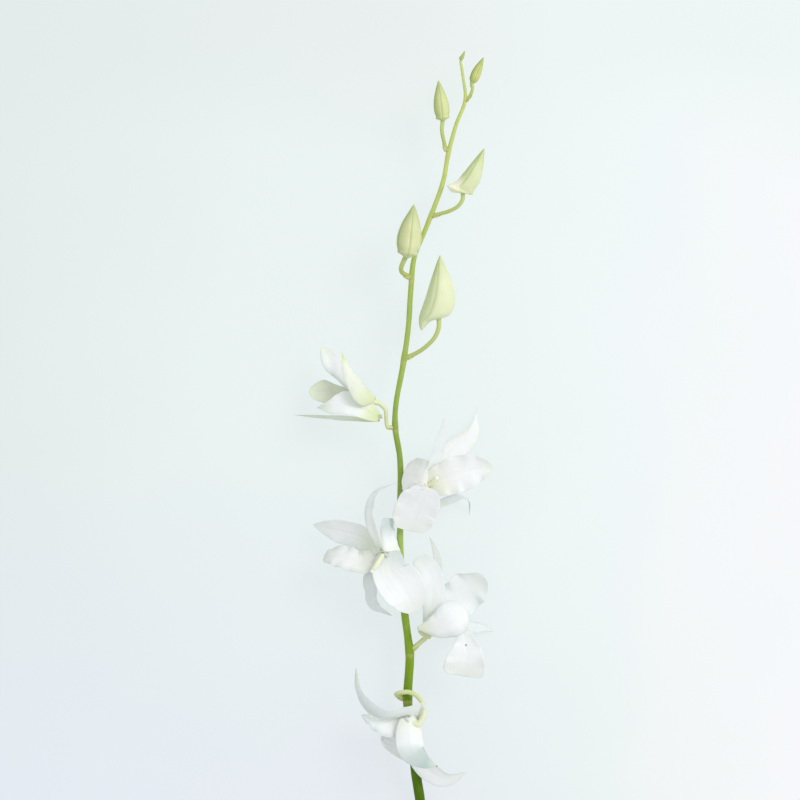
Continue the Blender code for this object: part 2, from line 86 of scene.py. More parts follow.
@dataclass(frozen=True)
class Sheet:
    """A sepal, petal or lip, by the route of its midrib from the heart of the flower."""

    half_width: float
    face: tuple                # where the inner face looks, at the base
    route: tuple               # points after the base, and the tip
    cup: float = 0.3           # half angle of the cross section, radians
    peak: float = 0.5          # where along the route the sheet is widest
    point: float = 0.9         # below 1 is a round tip, above 1 a drawn-out one
    claw: float = 1.0          # above 1 keeps the base narrow for longer
    base: float = 1.5          # half width of the base
    start: tuple = ()          # base away from the ring
    ruffle: float = 0.35       # height of the waves along the edges
    waves: float = 3.0         # how many of them
    crease: float = 0.2        # depth of the groove along the midrib
    thick: float = 0.75        # at the middle of the base
    green_base: float = 0.25   # how green the base and the tip are
    green_tip: float = 0.15
    shade: tuple = (0.0,)      # painted shade greying the tissue, from base to tip; on a bract, its brown tip
    shade_sides: tuple = (0.0, 0.0)    # and painted shade along its two edges
    speck: tuple = ()          # where a small dark speck sits: share of the length, -1 to 1 across
    finish: str = "petal_white"


class Flower:
    """An open flower that looks where aim points.

    The stalk runs from inside the stem to just behind the flower. The column and the spur, a closed
    chin behind the flower, are routes from the heart.
    """

    def __init__(self, heart, aim, stalk=(), stalk_radius=0.0, column=(), spur=(), **sheets):
        self.heart = heart
        self.aim = aim
        self.stalk = stalk
        self.stalk_radius = stalk_radius
        self.column = column
        self.spur = spur
        self.sheets = sheets


# In these tables, shade and shade_sides paint shade on sepals, petals and lips where a piece faces away from
# the light, folds, or lies under another.
FLOWER_1 = Flower(
    heart=(5.0, 38.0, 24.5),
    aim=(-0.66, -0.72, -0.2),
    stalk=((2.6, 50.2, 13.4), (0.8, 50.2, 13.6), (-1.8, 52.0, 16.0), (1.0, 53.2, 18.4), (4.5, 53.4, 19.3),
           (8.5, 51.7, 20.2), (11.4, 47.8, 21.8), (11.9, 42.6, 24.0), (9.2, 38.0, 25.4)),
    stalk_radius=1.2,
    column=((-2.0, -2.2, -0.6), (-4.2, -4.6, -2.0)),
    dorsal_sepal=Sheet(4.4, (-0.42, 0.75, -0.52), (
        (-5.0, 4.7, 1.6), (-12.5, 4.5, 5.6), (-19.0, 7.5, 6.6), (-24.2, 13.5, 5.5), (-26.6, 19.5, 4.0),
        (-27.0, 28.4, 1.0)),
        cup=0.5, peak=0.3, point=0.8, claw=1.1, base=8.0, start=(5.2, 4.8, -1.2),
        green_base=0.15, green_tip=0.8, shade=(0.0, 0.5, 0.8, 0.5, 0.2), shade_sides=(0.1, 0.2)),
    lateral_sepal_left=Sheet(5.9, (-0.38, -0.55, 0.75), (
        (2.2, -9.0, -8.0), (5.0, -18.3, -9.2), (11.0, -25.2, -7.5), (19.5, -28.2, -5.0),
        (29.0, -24.0, -2.5)),
        cup=0.4, point=1.1, shade=(0.3, 0.0, 0.0, 0.3), shade_sides=(0.5, 0.3)),
    # Its far half is painted in deeper shade, where it folds away from the light.
    lateral_sepal_right=Sheet(7.4, (-0.21, -0.32, -0.92), (
        (0.0, -6.5, 5.0), (1.6, -12.6, 8.5), (6.8, -17.2, 8.5), (14.0, -20.6, 6.0)),
        cup=0.5, peak=0.35, point=1.0, claw=0.6, base=3.6, start=(-0.4, 3.6, 0.8), green_tip=0.5,
        shade=(0.0, 0.0, 0.1, 0.8, 1.0, 0.4), speck=(0.98, 0.0), finish="petal_deep_shade"),
    petal_left=Sheet(9.0, (-0.34, -0.68, 0.64), (
        (-7.8, -2.0, -9.5), (-10.2, -6.5, -16.8), (-12.0, -9.0, -24.25)),
        peak=0.6, claw=1.4, ruffle=0.8, shade=(0.2, 0.1, 0.3), shade_sides=(0.6, 0.6)),
    petal_right=Sheet(6.8, (0.22, -0.53, -0.82), (
        (-8.0, -0.9, -1.6), (-15.5, 1.2, -0.4), (-24.5, 4.5, 0.2)),
        peak=0.35, claw=0.7, ruffle=0.9, waves=4.0, shade=(0.1, 0.1, 0.5), shade_sides=(0.6, 0.6)),
    lip=Sheet(9.6, (-0.22, -0.1, 0.97), (
        (-3.4, -5.8, -4.4), (-6.0, -11.0, -5.3), (-9.0, -15.5, -5.5)),
        cup=0.4, peak=0.7, point=0.35, ruffle=1.0, waves=5.0, shade_sides=(0.0, 0.2), finish="lip_white"),
)

FLOWER_2 = Flower(
    heart=(14.5, 86.5, 21.5),
    aim=(0.6, 0.65, 0.45),
    stalk=((4.8, 74.0, 15.4), (6.8, 75.2, 15.8), (10.1, 78.2, 17.0), (13.0, 80.8, 18.4), (14.6, 83.4, 19.8)),
    stalk_radius=1.15,
    column=((2.4, 2.6, 1.8), (4.8, 4.6, 3.0)),
    spur=((0.6, -4.4, -0.4), (-2.6, -3.4, 1.2), (-5.4, -1.6, 3.2)),
    dorsal_sepal=Sheet(3.0, (0.58, -0.08, 0.81), (
        (2.0, 12.0, -4.0), (3.4, 22.0, -6.5), (4.0, 30.0, -7.0), (3.4, 37.0, -6.8), (0.2, 45.0, -6.5)),
        cup=0.4, peak=0.6, point=1.1, claw=0.7, green_tip=0.3, shade=(0.2, 0.5, 0.9),
        shade_sides=(0.4, 0.0), finish="petal_warm"),
    lateral_sepal_left=Sheet(9.3, (0.34, -0.03, -0.94), (
        (3.5, 1.0, 7.6), (10.0, 4.2, 9.8), (16.0, 6.8, 9.0), (18.8, 8.0, 7.0)),
        cup=0.35, peak=0.75, point=0.5, claw=1.1, base=0.9, start=(-5.6, -0.6, 4.4), green_base=0.5,
        shade=(0.2, 0.0, 0.0), shade_sides=(0.6, 0.3)),
    lateral_sepal_right=Sheet(5.5, (0.46, 0.72, 0.52), (
        (9.0, -3.0, -7.0), (18.0, -2.0, -12.5), (26.5, -1.8, -17.1), (33.4, -4.2, -21.0)),
        peak=0.45, point=1.1, claw=0.8, shade=(0.3, 0.2, 0.5), shade_sides=(0.4, 0.3)),
    petal_left=Sheet(6.3, (-0.03, -0.39, 0.92), (
        (1.0, 9.0, 2.5), (1.8, 18.5, 3.8), (0.0, 27.0, 4.0), (-5.4, 35.2, 3.0)),
        peak=0.6, point=0.22, claw=0.9, base=1.6, shade=(0.5, 0.15, 0.0, 0.3), shade_sides=(0.4, 0.0)),
    petal_right=Sheet(11.0, (0.24, -0.17, 0.96), (
        (10.0, 8.6, -3.0), (17.0, 16.0, -5.0), (23.0, 21.6, -5.0), (27.0, 26.0, -3.0)),
        peak=0.6, point=0.55, claw=1.2, ruffle=1.4, shade=(0.0, 0.2, 0.45), shade_sides=(0.2, 0.2)),
    lip=Sheet(11.0, (-0.19, 0.37, 0.91), (
        (9.0, 1.5, 0.0), (16.0, -1.0, 2.5), (18.4, -8.5, 4.5), (18.2, -16.5, 4.5), (17.0, -24.6, 2.5)),
        cup=0.4, peak=0.9, point=0.3, claw=4.2, ruffle=0.7, waves=4.0, shade=(0.0, 0.0, 0.0, 0.0, 0.3),
        speck=(0.585, 0.0), finish="lip_white"),
)

FLOWER_3 = Flower(
    heart=(-9.5, 122.0, 26.5),
    aim=(-0.45, -0.52, 0.73),
    stalk=((-0.6, 111.2, 17.8), (-2.1, 112.5, 18.0), (-4.6, 116.0, 18.2), (-6.6, 121.0, 19.2)),
    stalk_radius=1.1,
    column=((0.6, 0.4, 3.4), (-1.8, -3.4, 6.0), (-4.6, -7.6, 6.6)),
    dorsal_sepal=Sheet(2.9, (-0.28, -0.54, 0.79), (
        (-2.2, 9.0, 3.6), (-5.2, 18.0, 5.2), (-5.4, 23.6, 5.2), (-4.0, 29.0, 5.8), (-0.4, 33.4, 5.6),
        (8.0, 36.8, 4.4)),
        peak=0.4, point=1.5, claw=0.6, base=1.4, green_tip=0.3,
        shade=(0.3, 0.5, 0.9), shade_sides=(0.4, -0.5)),
    lateral_sepal_left=Sheet(4.4, (-0.47, 0.35, 0.81), (
        (-4.8, -10.0, -2.0), (-4.9, -17.0, -4.0), (-3.2, -24.6, -5.0), (5.6, -30.2, -6.5)),
        peak=0.4, point=0.8, claw=0.6, shade=(0.5, 0.35, 0.2), shade_sides=(0.2, 0.0)),
    lateral_sepal_right=Sheet(4.4, (0.33, 0.77, 0.55), (
        (4.4, 5.2, -2.4), (3.2, 9.0, -2.6), (2.8, 13.8, -2.6), (3.2, 19.2, -2.4)),
        point=0.12, base=5.4, start=(5.2, 1.6, -1.9),
        shade=(0.0, 0.0, 0.5, 1.0, 1.0), shade_sides=(0.4, -0.3)),
    petal_left=Sheet(6.8, (-0.67, 0.0, 0.75), (
        (-4.6, 5.2, -1.5), (-10.5, 9.6, -4.4), (-19.0, 11.9, -8.0), (-27.0, 13.4, -13.0),
        (-34.5, 15.0, -19.0)),
        cup=0.35, peak=0.4, point=0.85, claw=0.5, base=3.4, green_base=0.5,
        shade=(0.4, 0.05, 0.0, 0.1), shade_sides=(0.3, 0.1)),
    petal_right=Sheet(11.2, (-0.06, 0.26, 0.96), (
        (4.8, -7.0, 1.8), (10.2, -14.5, 4.0), (14.2, -21.0, 3.6), (16.6, -28.0, 0.5)),
        cup=0.35, peak=0.52, point=0.5, claw=0.9, base=5.2, start=(4.9, 2.0, 0.3), ruffle=0.4,
        green_base=0.1, shade=(0.7, 0.15, 0.0, 0.0, 0.0)),
    lip=Sheet(6.8, (0.0, 0.47, 0.88), (
        (-9.5, -3.6, 1.2), (-17.0, -1.4, 1.2), (-24.0, -0.2, -1.5), (-29.0, -1.4, -5.0)),
        cup=0.45, point=0.5, claw=0.5, base=4.2, ruffle=0.8, waves=5.0, green_base=0.4,
        shade=(0.8, 0.3, 0.2, 0.7), shade_sides=(0.4, 0.4), finish="petal_warm"),
)

FLOWER_4 = Flower(
    heart=(14.0, 157.0, 24.5),
    aim=(0.85, 0.35, 0.4),
    stalk=((0.3, 149.0, 19.6), (2.4, 149.6, 19.8), (5.2, 151.0, 20.2), (8.0, 153.8, 21.6)),
    stalk_radius=1.1,
    column=((2.6, 1.6, 1.6), (4.6, 4.4, 3.6)),
    dorsal_sepal=Sheet(3.6, (0.47, -0.64, 0.61), (
        (1.6, 8.5, 0.4), (4.6, 17.5, 1.0), (6.8, 26.0, 2.0), (8.2, 34.5, 3.0)),
        peak=0.55, claw=0.9, base=1.1, shade=(0.2, 0.4, 0.6)),
    lateral_sepal_left=Sheet(11.0, (-0.19, -0.07, 0.98), (
        (-2.4, -5.6, 3.6), (-5.6, -11.5, 2.4), (-7.8, -17.0, 1.4), (-9.0, -22.6, 0.5)),
        point=0.2, claw=0.6, base=4.8, start=(-0.8, -0.6, 4.0), green_base=0.0,
        shade=(0.1,), finish="petal_warm"),
    lateral_sepal_right=Sheet(3.2, (0.84, 0.53, -0.11), (
        (4.5, -9.5, -6.0), (9.8, -8.0, -10.5), (16.2, -6.3, -15.5), (20.8, -8.0, -19.3),
        (21.3, -15.8, -24.15)),
        peak=0.3, point=1.2, claw=0.7, green_tip=1.0, shade=(0.0, 0.3, 0.6), shade_sides=(0.3, 0.3)),
    petal_left=Sheet(11.0, (0.47, -0.18, 0.86), (
        (-3.6, 2.6, 2.2), (-7.6, 4.6, 1.8), (-12.4, 6.2, 0.5)),
        cup=0.1, peak=0.28, point=0.4, claw=0.5, base=4.7, green_base=0.2,
        shade=(0.0, 0.4, 0.6, 0.6, 0.6), shade_sides=(0.0, 0.4), finish="petal_warm"),
    petal_right=Sheet(5.8, (0.4, 0.01, 0.92), (
        (6.6, 8.6, -5.2), (12.2, 17.4, -8.8), (18.2, 21.8, -12.2), (23.4, 28.0, -16.4),
        (25.2, 39.9, -24.05)),
        cup=0.35, peak=0.45, point=1.8, claw=0.7, ruffle=0.6, shade=(0.3, 0.25, 0.2),
        shade_sides=(0.3, 0.1), finish="petal_warm"),
    lip=Sheet(9.6, (-0.49, -0.26, 0.83), (
        (7.0, 3.4, 1.5), (14.0, 5.8, 2.8), (21.0, 7.8, 2.8), (28.0, 9.0, 1.5), (33.0, 8.8, 0.0)),
        cup=0.5, peak=0.45, point=0.8, claw=0.6, base=4.2, start=(0.4, 0.6, -0.6), ruffle=0.7, waves=4.0,
        green_base=0.5, shade=(0.0, 0.0, 0.1, 0.6), shade_sides=(0.1, 0.1), finish="petal_warm"),
)

FLOWER_5 = Flower(
    heart=(-15.0, 199.0, 24.0),
    aim=(-0.96, -0.12, 0.0),
    stalk=((-2.4, 186.2, 21.0), (-4.3, 186.4, 21.2), (-6.4, 186.7, 21.6), (-6.9, 190.5, 22.4),
           (-7.3, 195.2, 23.2), (-10.4, 198.4, 23.8)),
    stalk_radius=0.95,
    column=((-2.5, -0.4, 0.0), (-5.5, -0.8, 0.0)),
    dorsal_sepal=Sheet(5.0, (-0.48, -0.07, -0.88), (
        (-3.4, 3.4, 6.6), (-6.4, 7.8, 7.0), (-9.7, 13.4, 6.0), (-12.4, 19.0, 4.6), (-14.0, 25.0, 3.0)),
        cup=0.5, peak=0.2, point=1.1, claw=0.8, base=2.6, green_base=0.6, green_tip=1.0,
        shade=(0.2, 0.25, 0.1), finish="petal_cream"),
    lateral_sepal_left=Sheet(3.0, (-0.05, 0.93, 0.37), (
        (-7.5, -8.6, -6.0), (-16.0, -8.0, -11.5), (-25.0, -7.5, -16.5), (-38.9, -6.6, -23.6)),
        cup=0.06, peak=0.35, point=1.2, claw=0.7, base=1.0, start=(4.5, -9.5, -2.0), ruffle=0.1,
        crease=0.1, thick=0.4, green_base=0.7, green_tip=1.0, shade=(0.3, 0.4, 0.6), finish="petal_cream"),
    lateral_sepal_right=Sheet(6.6, (0.36, 0.28, 0.89), (
        (0.6, -5.8, 3.0), (-5.5, -2.2, 3.2), (-12.5, -0.9, 3.2), (-19.5, -2.4, 2.6), (-26.5, -2.8, 1.0)),
        peak=0.48, point=1.0, claw=0.8, base=1.6, crease=0.6, start=(5.0, -8.6, 2.2), green_base=1.0,
        green_tip=0.9, shade=(0.2, 0.0, 0.0, 0.2, 1.0), shade_sides=(0.1, 0.0)),
    petal_left=Sheet(5.9, (-0.38, 0.08, 0.92), (
        (-8.5, 5.2, -6.5), (-14.5, 6.5, -9.0), (-22.5, 5.2, -9.5), (-30.8, 5.0, -8.0)),
        cup=0.4, peak=0.74, point=0.5, claw=16.0, base=0.9, start=(-0.5, 0.6, -2.8), green_base=1.0,
        shade=(0.7, 0.6, 0.5), shade_sides=(0.2, 0.2), finish="petal_cream"),
    petal_right=Sheet(4.9, (-0.17, 0.18, 0.97), (
        (-8.4, 8.0, -3.2), (-13.8, 14.6, -4.6), (-19.2, 19.8, -4.4), (-24.0, 27.4, -2.4)),
        cup=0.4, peak=0.66, point=0.5, claw=1.4, green_tip=0.3, shade=(0.5, 0.1, 0.0),
        shade_sides=(0.8, 0.0)),
    lip=Sheet(3.6, (-0.29, 0.76, 0.58), (
        (-7.5, -3.2, -3.4), (-13.5, -2.6, -4.0), (-20.0, -2.4, -4.5)),
        cup=0.5, peak=0.55, point=0.7, claw=1.2, green_base=0.8, shade=(0.2,), finish="lip_white"),
)

FLOWERS = (FLOWER_1, FLOWER_2, FLOWER_3, FLOWER_4, FLOWER_5)

# Sections of a closed bud at stations along it, from the end of the chin to the tip: station in
# lengths of the bud, then shift towards the chin, half width and half depth in its radii.
BUD_SECTIONS = (
    (-0.21, 1.16, 0.00, 0.00),
    (-0.19, 1.16, 0.11, 0.12),
    (-0.12, 1.08, 0.28, 0.30),
    (-0.05, 0.92, 0.47, 0.52),
    (0.02, 0.38, 0.98, 0.84),
    (0.14, 0.10, 1.10, 0.98),
    (0.33, -0.10, 1.03, 1.00),
    (0.58, -0.12, 0.74, 0.78),
    (0.84, -0.04, 0.31, 0.34),
    (0.95, -0.02, 0.12, 0.13),
    (1.00, 0.00, 0.00, 0.00),
)
BUD_RINGS = 6                 # fine rings between two sections
BUD_SIDES = 60
CHIN_FLARE = 0.28             # how much a blunt chin widens where it leaves the bud
SEAMS = (0.0, 68.0, -68.0)    # where the three sepals' edges meet, in degrees from the chin
SEAM_DEPTH = 0.075


@dataclass(frozen=True)
class Bud:
    base: tuple
    tip: tuple
    radius: float
    chin: tuple                # the side the chin is on
    body: tuple                # linear colours
    # shade: the deeper green of tip and seams, which also paints shade on the bud's left side
    shade: tuple
    chin_reach: float = 0.0    # 1 is the full chin of a large bud
    chin_drop: float = 1.0
    chin_width: float = 1.0    # above 1 is a blunt chin
    chin_pale: float = 0.0     # how much paler the chin is
    stalk: tuple = ()
    stalk_radius: float = 0.0


BUDS = (
    Bud((19.4, 241.2, 25.0), (20.0, 272.5, 27.0), radius=7.2, chin=(-1.0, -0.1, 0.0), chin_reach=1.0,
        body=(0.84, 0.87, 0.60), shade=(0.50, 0.60, 0.25), stalk_radius=1.05,
        stalk=((2.6, 221.0, 22.0), (4.3, 221.6, 22.2), (11.1, 225.3, 23.0), (16.9, 230.7, 24.0),
               (19.3, 236.0, 24.7))),
    Bud((3.6, 273.6, 31.0), (7.0, 297.3, 32.5), radius=6.0, chin=(0.1, -0.1, 1.0), chin_reach=0.4,
        chin_drop=0.6, chin_width=1.6, body=(0.74, 0.75, 0.44), shade=(0.38, 0.47, 0.16), stalk_radius=1.15,
        stalk=((5.6, 261.0, 22.8), (3.8, 262.0, 23.6), (0.9, 264.0, 26.0), (0.9, 267.0, 28.8))),
    Bud((31.8, 304.0, 25.5), (42.2, 325.7, 27.5), radius=4.6, chin=(-1.0, 0.3, 0.0), chin_reach=0.98,
        chin_drop=0.55, chin_width=2.3, chin_pale=1.0, body=(0.80, 0.84, 0.54), shade=(0.38, 0.48, 0.13),
        stalk_radius=0.95,
        stalk=((16.0, 291.8, 22.9), (17.5, 292.5, 23.2), (24.6, 294.5, 24.0), (29.1, 297.0, 24.8),
               (31.3, 300.3, 25.3))),
    Bud((21.3, 341.4, 24.5), (19.2, 359.8, 25.5), radius=3.8, chin=(0.0, -0.1, 1.0), chin_reach=0.3,
        chin_drop=0.55, chin_width=1.8, body=(0.72, 0.75, 0.38), shade=(0.33, 0.43, 0.09), stalk_radius=0.95,
        stalk=((24.3, 324.2, 22.7), (22.9, 325.9, 23.0), (21.6, 330.8, 23.7), (20.9, 335.2, 24.2))),
    Bud((36.5, 359.8, 22.5), (41.9, 371.6, 23.5), radius=2.4, chin=(0.2, -0.1, 1.0), chin_reach=0.1,
        chin_drop=1.3, body=(0.64, 0.66, 0.25), shade=(0.25, 0.36, 0.04), stalk_radius=0.8,
        stalk=((32.6, 349.6, 22.0), (33.9, 350.9, 22.2), (35.4, 353.0, 22.3), (36.3, 356.0, 22.4))),
)

TIP_BUD = Bud((30.35, 370.4, 21.1), (32.6, 375.1, 21.4), radius=0.95, chin=(-1.0, 0.0, 0.0), chin_drop=0.35,
              body=(0.47, 0.57, 0.19), shade=(0.28, 0.38, 0.06))


def unit(vector):
    vector = np.asarray(vector, float)
    return vector / np.linalg.norm(vector)


FIRST_COLUMN = np.array(FLOWER_1.heart) + COLUMN_REACH * unit(FLOWER_1.aim)
COLUMN_LOW, COLUMN_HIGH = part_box("flower_1_column")
SHIFT = (np.array(COLUMN_LOW) + np.array(COLUMN_HIGH)) / 2 - FIRST_COLUMN * MM


# ---- materials


def srgb(red, green, blue):
    """A linear colour from display values of 0 to 255."""
    shares = [value / 255 for value in (red, green, blue)]
    return tuple(((share + 0.055) / 1.055) ** 2.4 if share > 0.04 else share / 12.92 for share in shares)


WHITE = srgb(248, 249, 249)
GREEN = srgb(214, 224, 160)
CREAM = srgb(250, 247, 222)       # the chin of bud 3
TAN = srgb(206, 186, 128)         # the stem's nodes
BROWN = srgb(186, 172, 104)       # the feet of the stalks
SPECK = srgb(92, 96, 60)
CELL_SCALE = 2600.0               # of the finest grain
PETAL_LOOKS = {                   # body, green, and the colour of painted shade, veins and mottle; for the bract, its brown
    "petal_white": (WHITE, GREEN, srgb(206, 215, 214)),
    "petal_warm": (srgb(247, 247, 247), srgb(236, 240, 196), srgb(208, 211, 206)),
    "petal_cream": (srgb(246, 248, 236), srgb(214, 224, 150), srgb(200, 206, 184)),
    # petal_white with a darker colour for painted shade, where a sepal folds into shadow
    "petal_deep_shade": (WHITE, GREEN, srgb(186, 199, 197)),
    "lip_white": (WHITE, srgb(238, 241, 196), srgb(206, 214, 208)),
    "column_skin": (srgb(240, 241, 224), srgb(228, 229, 160), srgb(206, 210, 184)),
    "bract": (srgb(218, 220, 156), srgb(204, 210, 132), srgb(186, 166, 108)),
}


class Nodes:
    """Short calls for the node tree of a material or of the world."""

    def __init__(self, owner, shader="Principled BSDF"):
        owner.use_nodes = True
        self.owner = owner
        self.tree = owner.node_tree
        self.shader = self.tree.nodes[shader]

    def new(self, kind):
        return self.tree.nodes.new("ShaderNode" + kind)

    def value(self, socket, value):
        """Sets a socket to a number or colour, or links another node's output to it."""
        if isinstance(value, bpy.types.NodeSocket):
            self.tree.links.new(value, socket)
        elif isinstance(value, tuple) and socket.type == "RGBA":
            socket.default_value = (*value, 1.0)
        else:
            socket.default_value = value

    def set(self, node, **values):
        """Sets the inputs of a node, named with _ for a space."""
        for key, value in values.items():
            self.value(node.inputs[key.replace("_", " ")], value)

    def uv(self):
        return self.new("UVMap").outputs["UV"]

    def place(self):
        return self.new("TexCoord").outputs["Object"]

    def attribute(self, name):
        node = self.new("Attribute")
        node.attribute_name = name
        return node.outputs["Fac"]

    def stretch(self, vector, scale):
        node = self.new("Mapping")
        self.set(node, Vector=vector, Scale=scale)
        return node.outputs["Vector"]

    def parts(self, vector):
        node = self.new("SeparateXYZ")
        self.set(node, Vector=vector)
        return node.outputs

    def noise(self, vector, scale, detail, roughness):
        node = self.new("TexNoise")
        self.set(node, Vector=vector, Scale=scale, Detail=detail, Roughness=roughness)
        return node.outputs["Fac"]

    def bands(self, vector, scale, distortion, detail_scale):
        node = self.new("TexWave")
        node.bands_direction = "Y"
        self.set(node, Vector=vector, Scale=scale, Distortion=distortion, Detail=2.0,
                 Detail_Scale=detail_scale)
        return node.outputs["Fac"]

    def remap(self, value, low, high, to_low=0.0, to_high=1.0):
        node = self.new("MapRange")
        self.set(node, Value=value, From_Min=low, From_Max=high, To_Min=to_low, To_Max=to_high)
        return node.outputs["Result"]

    def maths(self, operation, first, second):
        node = self.new("Math")
        node.operation = operation
        for socket, value in zip(node.inputs, (first, second)):
            self.value(socket, value)
        return node.outputs["Value"]

    def mix(self, factor, first, second, blend="MIX"):
        node = self.new("Mix")
        node.data_type = "RGBA"
        node.blend_type = blend
        self.set(node, Factor=factor, A=first, B=second)
        return node.outputs["Result"]

    def tint(self, colour, other, value, low, high, most, blend="MIX"):
        """Mixes up to a share of another colour in while a value rises from low to high."""
        return self.mix(self.remap(value, low, high, 0.0, most), colour, other, blend)

    def ramp(self, value, stops):
        node = self.new("ValToRGB")
        self.set(node, Fac=value)
        ramp = node.color_ramp
        while len(ramp.elements) < len(stops):
            ramp.elements.new(0.5)
        for element, (position, colour) in zip(ramp.elements, stops):
            element.position = position
            element.color = (*colour, 1.0)
        return node.outputs["Color"]

    def relief(self, *layers):
        """A normal with bumps on bumps: each layer is a height, its strength and its distance."""
        normal = None
        for height, strength, distance in layers:
            node = self.new("Bump")
            self.set(node, Strength=strength, Distance=distance, Height=height)
            if normal is not None:
                self.set(node, Normal=normal)
            normal = node.outputs["Normal"]
        return normal

    def seen(self):
        """1 for a ray from the camera, off a gloss or through glass, and 0 for any other."""
        rays = self.new("LightPath").outputs
        direct = self.maths("MAXIMUM", rays["Is Camera Ray"], rays["Is Glossy Ray"])
        return self.maths("MAXIMUM", direct, rays["Is Transmission Ray"])

    def show(self, share, first, second, output):
        """Shows a share of the second shader over the first."""
        node = self.new("MixShader")
        for socket, value in zip(node.inputs, (share, first.outputs[0], second.outputs[0])):
            self.value(socket, value)
        self.set(self.tree.nodes[output], Surface=node.outputs["Shader"])

    def tissue(self, colour, normal, roughness, specular, scatter, scatter_radius, sheen=0.0):
        """The plant's material. The scatter radius is in millimetres."""
        self.set(self.shader, Base_Color=colour, Normal=normal, Roughness=roughness,
                 Specular_IOR_Level=specular, Sheen_Weight=sheen, Subsurface_Weight=scatter,
                 Subsurface_Radius=scatter_radius, Subsurface_Scale=MM)
        return self.owner


def petal_material(name, body, green, shade):
    """Petal tissue: matt, faintly veined, greener where the piece says so, and greyed by painted shade where
    it says so.
    """
    nodes = Nodes(bpy.data.materials.new(name))
    place = nodes.place()
    veins = nodes.bands(nodes.stretch(nodes.uv(), (0.25, 1.0, 1.0)), 3.6, 2.4, 1.2)
    mottle = nodes.noise(place, 90.0, 4.0, 0.6)
    cells = nodes.noise(place, CELL_SCALE, 2.0, 0.5)
    colour = nodes.mix(nodes.attribute("green"), body, green)
    # painted shade, as the sheet's shade values set it
    colour = nodes.mix(nodes.attribute("shade"), colour, shade)
    colour = nodes.tint(colour, shade, veins, 0.6, 1.0, 0.05)
    colour = nodes.tint(colour, shade, mottle, 0.35, 0.75, 0.14)
    colour = nodes.tint(colour, SPECK, nodes.attribute("speck"), 0.6, 0.85, 0.8)
    normal = nodes.relief((veins, 0.06, 0.0003), (mottle, 0.20, 0.0012), (cells, 0.12, 0.0001))
    roughness = nodes.remap(mottle, 0.3, 0.7, 0.46, 0.60)
    return nodes.tissue(colour, normal, roughness, 0.3, 0.35, (1.2, 1.2, 0.9), sheen=0.1)


def bud_material(name, body, shade):
    """A closed bud: waxy, with fine lines along it and a deeper green towards tip and seams; the same green
    is painted shade on its left side.
    """
    nodes = Nodes(bpy.data.materials.new(name))
    place = nodes.place()
    lines = nodes.bands(nodes.stretch(nodes.uv(), (0.15, 1.0, 1.0)), 9.0, 2.2, 1.2)
    mottle = nodes.noise(place, 160.0, 4.0, 0.6)
    cells = nodes.noise(place, CELL_SCALE, 2.0, 0.5)
    colour = nodes.mix(nodes.attribute("green"), body, shade)
    colour = nodes.tint(colour, shade, lines, 0.45, 1.0, 0.30)
    colour = nodes.mix(nodes.attribute("pale"), colour, CREAM)
    colour = nodes.tint(colour, shade, mottle, 0.4, 0.8, 0.18)
    normal = nodes.relief((lines, 0.2, 0.0004), (mottle, 0.15, 0.0008), (cells, 0.1, 0.0001))
    roughness = nodes.remap(mottle, 0.3, 0.7, 0.38, 0.52)
    return nodes.tissue(colour, normal, roughness, 0.4, 0.25, (1.5, 1.6, 0.7))


def stem_material():
    """The stem: deep green at its foot, yellower towards the tip, tan at its nodes."""
    nodes = Nodes(bpy.data.materials.new("stem_skin"))
    uv = nodes.uv()
    # The lighter stop at 0.46 is painted light, where flowers 3 and 4 cast shade on the stem.
    body = nodes.ramp(nodes.parts(uv)["X"], (
        (0.00, srgb(68, 100, 0)), (0.19, srgb(83, 117, 0)), (0.34, srgb(139, 170, 42)),
        (0.46, srgb(180, 203, 112)), (0.55, srgb(143, 171, 74)), (0.64, srgb(170, 192, 96)),
        (0.72, srgb(178, 198, 106)), (0.86, srgb(206, 216, 129)), (1.00, srgb(214, 224, 144))))
    streaks = nodes.noise(nodes.stretch(uv, (26.0, 5.0, 1.0)), 3.0, 4.0, 0.6)
    mottle = nodes.noise(nodes.place(), 220.0, 4.0, 0.6)
    colour = nodes.tint(body, srgb(196, 206, 170), streaks, 0.35, 0.7, 0.6, "MULTIPLY")
    colour = nodes.tint(colour, srgb(190, 204, 128), mottle, 0.5, 0.8, 0.12)
    colour = nodes.mix(nodes.attribute("green"), colour, TAN)
    normal = nodes.relief((streaks, 0.3, 0.0004), (mottle, 0.15, 0.0005))
    roughness = nodes.remap(mottle, 0.3, 0.7, 0.36, 0.5)
    return nodes.tissue(colour, normal, roughness, 0.15, 0.12, (0.6, 0.9, 0.3))


def stalk_material(name, foot, top):
    """A flower or bud stalk: green at its foot, paler towards the flower."""
    nodes = Nodes(bpy.data.materials.new(name))
    uv = nodes.uv()
    body = nodes.ramp(nodes.parts(uv)["X"], ((0.0, foot), (0.35, foot), (1.0, top)))
    streaks = nodes.noise(nodes.stretch(uv, (5.0, 6.0, 1.0)), 3.0, 3.0, 0.6)
    mottle = nodes.noise(nodes.place(), 300.0, 3.0, 0.6)
    colour = nodes.tint(body, srgb(214, 218, 190), streaks, 0.4, 0.75, 0.35, "MULTIPLY")
    colour = nodes.mix(nodes.attribute("green"), colour, BROWN)
    normal = nodes.relief((streaks, 0.25, 0.0003), (mottle, 0.12, 0.0004))
    roughness = nodes.remap(mottle, 0.3, 0.7, 0.38, 0.5)
    return nodes.tissue(colour, normal, roughness, 0.42, 0.15, (0.8, 1.0, 0.4))


# ---- shapes


def smooth_step(value):
    value = np.clip(value, 0.0, 1.0)
    return value * value * (3 - 2 * value)


def bell(value, width):
    """1 where the value is zero, and less to both sides of it."""
    return np.exp(-(value / width) ** 2)


def round_end(share, length):
    """Factors for the radii of a rod that close its end over the last of its length."""
    return np.sqrt(np.clip((1.0 - share) / length, 0.02, 1.0))


